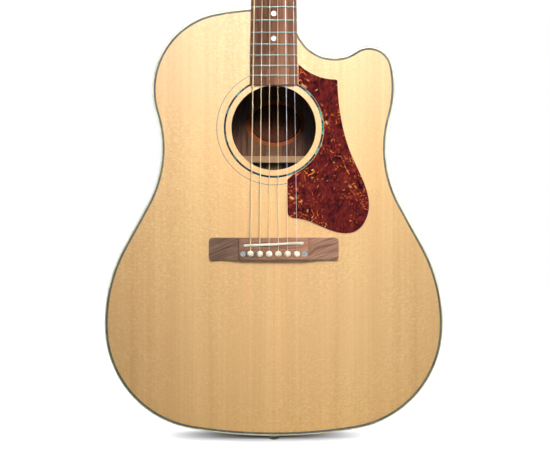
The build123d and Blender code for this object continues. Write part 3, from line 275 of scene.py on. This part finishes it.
def bridge_wood():
    """Walnut laid across, with the grain running out diagonally on the scooped wings and painted light
    brightening the treble end.
    """
    s = Shader("bridge_walnut")
    x, y, z = s.split(s.place())
    wing = s.mask(s.maths("ABSOLUTE", x), 41.0 * MM, 42.2 * MM)
    slope = s.times_plus(wing, 0.34, 0.03)
    bow = s.noise(s.join(s.times(x, 30.0), 0.0, s.times(z, 40.0)), 1.0, 1.0)
    lane = s.minus(z, s.times(x, slope))
    lane = s.times_plus(bow, s.times_plus(wing, 0.006, 0.003), lane)

    def streaks(per_metre, ratio, detail=3.0):
        grid = s.join(
            s.times(x, per_metre * ratio),
            s.times(y, per_metre * 0.4),
            s.times(lane, per_metre),
        )
        return s.noise(grid, 1.0, detail, 0.6)

    broad, fine = streaks(200.0, 0.06), streaks(700.0, 0.05)
    tone = s.times_plus(broad, 0.45, s.times(fine, 0.55))
    centre = s.ramp(
        tone,
        [
            (0.36, (0.155, 0.078, 0.050)),
            (0.48, (0.255, 0.137, 0.088)),
            (0.58, (0.330, 0.185, 0.120)),
            (0.70, (0.400, 0.235, 0.160)),
        ],
    )
    tips = s.ramp(
        tone,
        [
            (0.38, (0.115, 0.066, 0.048)),
            (0.48, (0.205, 0.120, 0.085)),
            (0.58, (0.275, 0.168, 0.120)),
            (0.70, (0.345, 0.222, 0.165)),
        ],
    )
    colour = s.blend(wing, centre, tips)
    # painted light: the bridge is multiplied darker towards the bass end and brighter towards the
    # treble end, where the key light falls
    shade = s.blend(s.mask(x, -60.0 * MM, 70.0 * MM), (0.86, 0.82, 0.78), (1.55, 1.36, 1.26))
    colour = s.blend(1.0, colour, shade, "MULTIPLY")
    pores = s.mask(streaks(1700.0, 0.06, 2.0), 0.60, 0.72)
    colour = s.blend(s.times(pores, 0.4), colour, (0.07, 0.035, 0.024))
    relief = s.minus(fine, s.times(pores, 0.9))
    normal = s.bump(relief, 0.10 * MM, 0.35)
    return s.finish(colour, s.times_plus(fine, 0.2, 0.38), normal, Specular_IOR_Level=0.08)


# grain colours as stops of (tone, colour), from pore to pale wood
WALNUT = [
    (0.36, (0.080, 0.028, 0.014)),
    (0.46, (0.172, 0.066, 0.032)),
    (0.56, (0.255, 0.108, 0.054)),
    (0.68, (0.335, 0.160, 0.086)),
]
ROSEWOOD = [
    (0.34, (0.022, 0.010, 0.007)),
    (0.50, (0.075, 0.030, 0.018)),
    (0.62, (0.135, 0.058, 0.032)),
    (0.75, (0.200, 0.095, 0.052)),
]
MAHOGANY = [
    (0.34, (0.120, 0.042, 0.020)),
    (0.50, (0.215, 0.085, 0.042)),
    (0.62, (0.300, 0.130, 0.066)),
    (0.75, (0.380, 0.180, 0.095)),
]
BACK_WOOD = [
    (0.34, (0.060, 0.024, 0.013)),
    (0.48, (0.130, 0.056, 0.030)),
    (0.60, (0.200, 0.092, 0.048)),
    (0.74, (0.290, 0.145, 0.080)),
]
STRIP_WOOD = [
    (0.34, (0.095, 0.045, 0.026)),
    (0.50, (0.150, 0.078, 0.044)),
    (0.62, (0.200, 0.110, 0.064)),
    (0.75, (0.250, 0.145, 0.088)),
]
MAPLE = [
    (0.34, (0.46, 0.30, 0.16)),
    (0.50, (0.58, 0.41, 0.23)),
    (0.62, (0.66, 0.49, 0.29)),
    (0.75, (0.72, 0.56, 0.36)),
]


# ---------------------------------------------------------------------------
# Plastics, shell and bone
# ---------------------------------------------------------------------------
def tortoiseshell():
    """Maroon plastic: dark clouds, swirled orange threads and bright amber flecks."""
    s = Shader("tortoiseshell")
    place = s.place()
    drift = s.add("ShaderNodeTexNoise", inputs={"Vector": place, "Scale": 32.0, "Detail": 2.0})
    pulled = {0: drift.outputs["Color"], 1: (0.022,) * 3, 2: place}
    flow = s.add("ShaderNodeVectorMath", {"operation": "MULTIPLY_ADD"}, pulled).outputs[0]
    clouds = s.noise(flow, 95.0, 4.0, 0.6)
    colour = s.ramp(
        clouds,
        [
            (0.35, (0.010, 0.004, 0.007)),
            (0.43, (0.060, 0.007, 0.010)),
            (0.54, (0.110, 0.011, 0.013)),
            (0.68, (0.160, 0.021, 0.015)),
        ],
    )
    swirl = s.noise(s.scaled(flow, (520.0, 200.0, 150.0)), 1.0, 3.0, 0.6, 1.2)
    colour = s.blend(s.times(s.mask(swirl, 0.50, 0.70), 0.75), colour, (0.250, 0.034, 0.014))
    colour = s.blend(s.times(s.mask(swirl, 0.46, 0.32), 0.70), colour, (0.040, 0.006, 0.009))
    lively = s.mask(s.noise(place, 26.0, 2.0, 0.5), 0.38, 0.62)
    for turn, low in ((0.5, 0.585), (-0.7, 0.600), (1.4, 0.605)):
        grid = s.scaled(s.scaled(flow, (1.0, 1.0, 1.0), (0.0, turn, 0.0)), (620.0, 200.0, 130.0))
        stroke = s.noise(grid, 1.0, 2.0, 0.5)
        edge = s.minus(stroke, s.times(s.minus(1.0, lively), 0.10))
        rim = s.times(s.mask(edge, low, low + 0.09), 0.80)
        core = s.times(s.mask(edge, low + 0.06, low + 0.12), 0.90)
        colour = s.blend(rim, colour, (0.42, 0.062, 0.016))
        colour = s.blend(core, colour, (0.90, 0.25, 0.045))
    for scale, turn, share in ((150.0, 0.6, 0.72), (230.0, -0.9, 0.78)):
        turned = s.scaled(flow, (1.0, 1.0, 1.0), (0.0, turn, 0.0))
        grid = s.scaled(turned, (scale, scale * 0.3, scale * 0.48))
        size = s.split(s.cells(grid, 1.0, output="Color"))[0]
        fleck = s.mask(s.cells(grid, 1.0), s.times_plus(size, 0.45, -0.12), 0.02)
        chosen = s.mask(size, share, share + 0.05)
        amount = s.times(fleck, s.times(chosen, s.times_plus(lively, 0.7, 0.3)))
        colour = s.blend(amount, colour, (1.0, 0.56, 0.18))
    lacquer(s, 0.4, 0.03)
    normal = s.bump(s.noise(place, 30.0, 1.0), 0.08 * MM, 0.2)
    return s.finish(colour, 0.35, normal, Specular_IOR_Level=0.0)


def abalone():
    """Ring of short shell strips: near-black slate broken by teal, green and pale flashes, with painted
    light brightening the treble side.
    """
    s = Shader("shell")
    place = s.place()
    x, _, z = s.split(place)
    angle = s.maths("ARCTAN2", s.minus(z, HOLE_Z), s.minus(x, HOLE_X))
    strip = s.maths("FLOOR", s.times(angle, 44 / math.tau))
    grid = s.join(strip, s.times(strip, 0.37), 0.0)
    chance = s.add("ShaderNodeTexWhiteNoise", {"noise_dimensions": "3D"}, {"Vector": grid})
    ripple = s.noise(place, 420.0, 3.0, 0.6, 1.5)
    # painted light: the shell's tone is raised towards the treble side, where the key light falls
    painted_treble_light = s.maths("COSINE", s.minus(angle, 0.3))
    tone = s.times_plus(ripple, 0.75, s.times(chance.outputs["Value"], 0.34))
    tone = s.times_plus(painted_treble_light, 0.07, tone)
    colour = s.ramp(
        tone,
        [
            (0.46, (0.006, 0.012, 0.022)),
            (0.58, (0.010, 0.034, 0.060)),
            (0.65, (0.030, 0.170, 0.190)),
            (0.71, (0.085, 0.400, 0.330)),
            (0.78, (0.100, 0.500, 0.190)),
            (0.86, (0.560, 0.640, 0.560)),
        ],
    )
    lacquer(s, 0.3, 0.05)
    normal = s.bump(tone, 0.04 * MM, 0.3)
    return s.finish(colour, 0.25, normal, Specular_IOR_Level=0.15)


def pearl():
    """Silvery mother of pearl with blue and rose clouding."""
    s = Shader("pearl")
    tone = s.noise(s.place(), 300.0, 3.0, 0.6, 2.5)
    colour = s.ramp(
        tone,
        [
            (0.35, (0.20, 0.25, 0.32)),
            (0.50, (0.34, 0.40, 0.47)),
            (0.60, (0.50, 0.55, 0.60)),
            (0.72, (0.40, 0.36, 0.44)),
        ],
    )
    lacquer(s, 0.8, 0.05)
    film = {"Thin_Film_Thickness": 420.0, "Thin_Film_IOR": 1.5}
    return s.finish(colour, 0.25, s.bump(tone, 0.04 * MM, 0.3), **film)


def rosette_lines():
    """Black lines beside the shell ring and a slate-blue outer line."""
    s = Shader("rosette_lines")
    place = s.place()
    x, _, z = s.split(place)
    off_x, off_z = s.minus(x, HOLE_X), s.minus(z, HOLE_Z)
    radius = s.maths("SQRT", s.times_plus(off_x, off_x, s.times(off_z, off_z)))
    fibre = s.noise(place, 900.0, 3.0)
    slate = s.ramp(fibre, [(0.35, (0.085, 0.105, 0.125)), (0.65, (0.150, 0.180, 0.205))])
    black = s.ramp(fibre, [(0.35, (0.012, 0.013, 0.016)), (0.65, (0.040, 0.042, 0.050))])
    colour = s.blend(s.mask(radius, 63.0 * MM, 65.0 * MM), black, slate)
    return s.finish(colour, 0.4, s.bump(fibre, 0.02 * MM, 0.2), Specular_IOR_Level=0.1)


def plastic(name, colour, shade, rough=0.25, mottle=120.0, gloss=0.4):
    """Moulded or scraped plastic with faint mottling and hairline marks."""
    s = Shader(name)
    place = s.place()
    tone = s.noise(place, mottle, 3.0)
    mixed = s.blend(s.mask(tone, 0.35, 0.70), colour, shade)
    hair = s.noise(s.scaled(place, (900.0, 900.0, 60.0), (0.3, 0.5, 0.2)), 1.0, 2.0)
    normal = s.bump(hair, 0.02 * MM, 0.2)
    sheen = s.times_plus(hair, 0.16, rough - 0.08)
    return s.finish(mixed, sheen, normal, Specular_IOR_Level=gloss)


def bone():
    """Polished bone: warm white with fine pores and faint streaks."""
    s = Shader("bone")
    place = s.place()
    streak = s.noise(s.scaled(place, (60.0, 400.0, 400.0)), 1.0, 3.0)
    colour = s.ramp(
        streak,
        [
            (0.35, (0.70, 0.64, 0.50)),
            (0.55, (0.86, 0.83, 0.74)),
            (0.70, (0.93, 0.91, 0.85)),
        ],
    )
    pores = s.mask(s.noise(place, 2600.0, 1.0), 0.66, 0.74)
    colour = s.blend(s.times(pores, 0.4), colour, (0.55, 0.47, 0.34))
    return s.finish(colour, 0.28, s.bump(pores, -0.03 * MM, 0.4), Subsurface_Weight=0.08)


def paper():
    """Blank oval label: brown card with an orange rim inside two dark lines."""
    s = Shader("label_paper")
    low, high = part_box("label")
    centre, half = (low + high) / 2, (high - low) / 2
    x, _, z = s.split(s.place())
    across = s.maths("DIVIDE", s.minus(x, centre.x), half.x)
    up = s.maths("DIVIDE", s.minus(z, centre.z), half.z)
    squares = s.times_plus(across, across, s.times(up, up))
    radius = s.maths("SQRT", squares)
    fibre = s.noise(s.place(), 700.0, 4.0, 0.7)
    field = s.ramp(fibre, [(0.35, (0.085, 0.024, 0.014)), (0.62, (0.130, 0.040, 0.022))])
    border = s.ramp(fibre, [(0.35, (0.24, 0.058, 0.018)), (0.62, (0.33, 0.090, 0.028))])
    colour = s.blend(s.mask(radius, 0.80, 0.84), field, border)
    dark = (0.035, 0.014, 0.010)
    for ring, width in ((0.81, 0.030), (0.71, 0.012)):
        off = s.maths("ABSOLUTE", s.minus(radius, ring))
        colour = s.blend(s.mask(off, width, width * 0.6), colour, dark)
    return s.finish(colour, 0.8, s.bump(fibre, 0.05 * MM, 0.3), Specular_IOR_Level=0.05)


# ---------------------------------------------------------------------------
# Metals
# ---------------------------------------------------------------------------
def metal(name, colour, dull, rough=0.22, grain=(300.0, 300.0, 300.0)):
    """Polished metal with hairline wear and slight tarnish."""
    s = Shader(name)
    place = s.place()
    tarnish = s.mask(s.noise(place, 90.0, 4.0, 0.6), 0.42, 0.72)
    hair = s.noise(s.scaled(place, grain), 1.0, 3.0, 0.6)
    mixed = s.blend(s.times(tarnish, 0.45), colour, dull)
    shine = s.times_plus(hair, 0.14, s.times_plus(tarnish, 0.10, rough - 0.07))
    return s.finish(mixed, shine, s.bump(hair, 0.01 * MM, 0.25), Metallic=1.0)


def wound_wire(name, colour, dull, pitch):
    """Bronze winding round a string: fine ridges that lean a little, with painted shade in the grooves
    between them.
    """
    s = Shader(name)
    x, _, z = s.split(s.place())
    lean = s.times_plus(x, 0.12, z)
    ridge = s.maths("SINE", s.times(lean, math.tau / pitch))
    # painted shade: the grooves between the turns are darkened
    painted_groove_shade = s.mask(ridge, -0.2, -1.0)
    tarnish = s.mask(s.noise(s.place(), 160.0, 3.0), 0.42, 0.70)
    mixed = s.blend(s.times(tarnish, 0.4), colour, dull)
    mixed = s.blend(s.times(painted_groove_shade, 0.45), mixed, (0.22, 0.14, 0.05))
    return s.finish(mixed, 0.42, s.bump(ridge, pitch * 0.25, 0.6), Metallic=0.7)


MATERIALS = {
    "spruce_top": spruce("spruce_top", tint=(1.0, 0.935, 0.735)),
    # painted shade: the inside spruce is tinted darker and greyer than the top, standing in for the
    # shade inside the body
    "inner_spruce": spruce("inner_spruce", tint=(0.50, 0.46, 0.48), clear=False),
    "back_wood": hardwood("back_wood", BACK_WOOD, "z", pore=0.6, clear=True, rough=0.45, figure=1.6),
    "side_wood": hardwood("side_wood", BACK_WOOD, "z", pore=0.6, clear=True, rough=0.45, figure=1.6),
    "inner_mahogany": hardwood("inner_mahogany", MAHOGANY, "z", rough=0.65),
    "plate_maple": hardwood("plate_maple", MAPLE, "x", pore=0.2, rough=0.65),
    "walnut": hardwood("walnut", WALNUT, "z", pore=0.55, rough=0.48),
    "mahogany": hardwood("mahogany", MAHOGANY, "z", clear=True, rough=0.45),
    "veneer_rosewood": hardwood("veneer_rosewood", ROSEWOOD, "z", clear=True, rough=0.40),
    "binding_cream": plastic("binding_cream", (0.82, 0.79, 0.50), (0.90, 0.87, 0.60), rough=0.28),
    "purfling_dark": plastic(
        "purfling_dark", (0.020, 0.022, 0.020), (0.046, 0.050, 0.046), rough=0.35, gloss=0.08
    ),
    "purfling_pale": plastic(
        "purfling_pale", (0.24, 0.26, 0.22), (0.32, 0.34, 0.29), rough=0.35, gloss=0.08
    ),
    "shell": abalone(),
    "pearl": pearl(),
    "tortoiseshell": tortoiseshell(),
    "bone": bone(),
    "pin_white": plastic(
        "pin_white", (0.92, 0.88, 0.72), (0.98, 0.95, 0.84), rough=0.24, mottle=260.0
    ),
    "label_paper": paper(),
    "nickel_silver": metal("nickel_silver", (0.150, 0.190, 0.170), (0.120, 0.150, 0.135), rough=0.42),
    "steel": metal("steel", (0.50, 0.50, 0.50), (0.28, 0.27, 0.26), rough=0.35),
    "brass": metal("brass", (0.66, 0.46, 0.18), (0.36, 0.24, 0.10), rough=0.30),
    "nickel": metal("nickel", (0.72, 0.70, 0.66), (0.50, 0.48, 0.44), rough=0.14),
    "cover_black": plastic("cover_black", (0.012, 0.012, 0.013), (0.024, 0.023, 0.024), rough=0.12),
    "plain_steel": metal(
        "plain_steel", (0.90, 0.90, 0.90), (0.66, 0.65, 0.63), rough=0.32, grain=(900.0, 900.0, 40.0)
    ),
    "wound_bronze": wound_wire(
        "wound_bronze", (1.0, 0.90, 0.56), (0.86, 0.70, 0.38), pitch=0.32 * MM
    ),
}

# nodes that look different from the rest of their record slot
NODE_MATERIALS = {
    "bridge": bridge_wood(),
    "back_center_strip": hardwood("strip_mahogany", STRIP_WOOD, "x", pore=0.4, rough=0.7),
    "rosette_lines": rosette_lines(),
}


def carry_over():
    """Gives every CAD node its own material, or else that of its record slot."""
    for subpart in frame["record"]["subparts"]:
        name = subpart["node"]
        mesh = nodes[name].data
        mesh.materials.clear()
        mesh.materials.append(NODE_MATERIALS.get(name) or MATERIALS[subpart["material_slot"]])


def ease_edges(name, width):
    """Rounds the sharp edges of a CAD node with a modifier."""
    bevel = nodes[name].modifiers.new("ease", "BEVEL")
    bevel.width = width
    bevel.segments = 2
    bevel.limit_method = "ANGLE"
    bevel.angle_limit = math.radians(40)
    bevel.harden_normals = False


carry_over()
ease_edges("pickguard", 0.35 * MM)


# ---------------------------------------------------------------------------
# Stage, light and camera
# ---------------------------------------------------------------------------
def studio_floor():
    """Pale floor under the strap pin; to the camera it glows to meet the white sky, with a painted
    shadow close under the body.
    """
    floor_z, half = cad_bounds[0].z, 6.0
    corners = ((-half, -half), (half, -half), (half, half), (-half, half))
    vertices = [(x, y, floor_z) for x, y in corners]
    mesh = bpy.data.meshes.new("studio_floor")
    mesh.from_pydata(vertices, [], [(0, 1, 2, 3)])
    sheet = bpy.data.objects.new("studio_floor", mesh)
    bpy.context.scene.collection.objects.link(sheet)
    # painted shadow: inside a soft ellipse just behind and under the body the floor's colour is
    # darkened and its glow fades
    shadow_x, shadow_y = -0.01, 0.07
    shadow_half_width, shadow_half_depth = 0.15, 0.095
    s = Shader("studio_paper")
    seen = s.add("ShaderNodeLightPath").outputs["Is Camera Ray"]
    x, y, _ = s.split(s.place())
    wide = s.maths("DIVIDE", s.minus(x, shadow_x), shadow_half_width)
    deep = s.maths("DIVIDE", s.minus(y, shadow_y), shadow_half_depth)
    spread = s.maths("SQRT", s.times_plus(wide, wide, s.times(deep, deep)))
    outside_painted_shadow = s.mask(spread, 0.30, 1.20)
    grain = s.noise(s.place(), 60.0, 3.0)
    colour = s.ramp(grain, [(0.3, (0.88, 0.88, 0.88)), (0.7, (0.93, 0.93, 0.93))])
    # painted shadow colour inside the ellipse
    colour = s.blend(outside_painted_shadow, (0.12, 0.115, 0.125), colour)
    colour = s.blend(seen, (0.30, 0.29, 0.28), colour)
    glow = s.times(seen, s.times(outside_painted_shadow, 1.05))
    mesh.materials.append(s.finish(colour, 0.9, Emission_Color=(1.0, 1.0, 1.0), Emission_Strength=glow))


def area_light(name, place, target, size, power, spread=180, colour=(1.0, 1.0, 1.0)):
    """Rectangular lamp at place, turned to target; spread in degrees narrows its beam."""
    light = bpy.data.lights.new(name, "AREA")
    light.shape = "RECTANGLE"
    light.size, light.size_y = size
    light.energy = power
    light.color = colour
    light.spread = math.radians(spread)
    lamp = bpy.data.objects.new(name, light)
    lamp.location = place
    lamp.rotation_euler = (Vector(target) - Vector(place)).to_track_quat("-Z", "Y").to_euler()
    lamp.visible_camera = False
    bpy.context.scene.collection.objects.link(lamp)
    return lamp


def camera():
    """Straight-on view of the body from 2.5 m, cropping the neck above its joint."""
    distance, view_width = 2.5, 0.6605
    aim_x, eye_height = 0.0015, 0.2531
    data = bpy.data.cameras.new("camera")
    data.sensor_width = 36.0
    data.lens = data.sensor_width * distance / view_width
    data.clip_end = 20.0
    eye = bpy.data.objects.new("camera", data)
    eye.location = (aim_x, FACE_Y - distance, TAIL_Z + eye_height)
    eye.rotation_euler = (math.radians(90), 0, 0)
    bpy.context.scene.collection.objects.link(eye)
    bpy.context.scene.camera = eye


def world():
    """White to the camera, dim as a light, pale towards the sides and back in reflections."""
    sky = bpy.data.worlds.new("studio")
    sky.use_nodes = True
    tree = sky.node_tree

    def add(kind, links=(), values=()):
        node = tree.nodes.new(kind)
        for key, socket in dict(links).items():
            tree.links.new(socket, node.inputs[key])
        for key, value in dict(values).items():
            node.inputs[key].default_value = value
        return node.outputs

    rays = add("ShaderNodeLightPath")
    forward = add("ShaderNodeSeparateXYZ", {0: add("ShaderNodeTexCoord")["Generated"]})["Y"]
    ambient, pale = 0.08, 0.55
    around = {"From Min": -0.75, "From Max": 0.25, "To Min": ambient, "To Max": pale}
    mirrored = add("ShaderNodeMapRange", {"Value": forward}, around)["Result"]
    unseen = {"Value": rays["Is Glossy Ray"], "To Max": mirrored}
    unseen = add("ShaderNodeMapRange", unseen, {"To Min": ambient})["Result"]
    seen = {"Value": rays["Is Camera Ray"], "To Min": unseen}
    seen = add("ShaderNodeMapRange", seen, {"To Max": 1.0})["Result"]
    background = tree.nodes["Background"]
    background.inputs["Color"].default_value = (1.0, 1.0, 1.0, 1.0)
    tree.links.new(seen, background.inputs["Strength"])
    bpy.context.scene.world = sky
    bpy.context.scene.view_settings.view_transform = "Standard"


def light_set():
    """Key and low fill on the soundboard, fills on neck, side and back, a sheen seen only in gloss."""
    warm, neutral = (1.0, 0.985, 0.95), (1.0, 0.99, 0.97)
    area_light(
        "key",
        place=(0.14, FACE_Y - 1.29, 0.97),
        target=(0.03, FACE_Y, 0.41),
        size=(0.30, 0.30),
        power=1.40,
        spread=40,
        colour=warm,
    )
    low = area_light(
        "low",
        place=(0.07, FACE_Y - 1.17, 0.25),
        target=(0.06, FACE_Y, 0.01),
        size=(0.20, 0.20),
        power=0.135,
        spread=31,
        colour=neutral,
    )
    low.visible_glossy = False
    area_light(
        "neck",
        place=(0.30, FACE_Y - 1.15, 1.40),
        target=(0.0, 0.0, 0.95),
        size=(0.25, 0.25),
        power=0.60,
        spread=30,
    )
    area_light("side", place=(1.5, 0.25, 0.9), target=(0.1, 0.0, 0.45), size=(0.8, 0.8), power=12.0)
    area_light("rim", place=(-0.9, 1.5, 1.3), target=(0.0, 0.0, 0.5), size=(1.2, 1.2), power=26.0)
    sheen = area_light(
        "sheen",
        place=(0.05, FACE_Y - 2.40, 1.00),
        target=(0.0, FACE_Y, 0.50),
        size=(1.5, 0.6),
        power=62.0,
    )
    sheen.visible_diffuse = False


studio_floor()
light_set()
camera()
world()
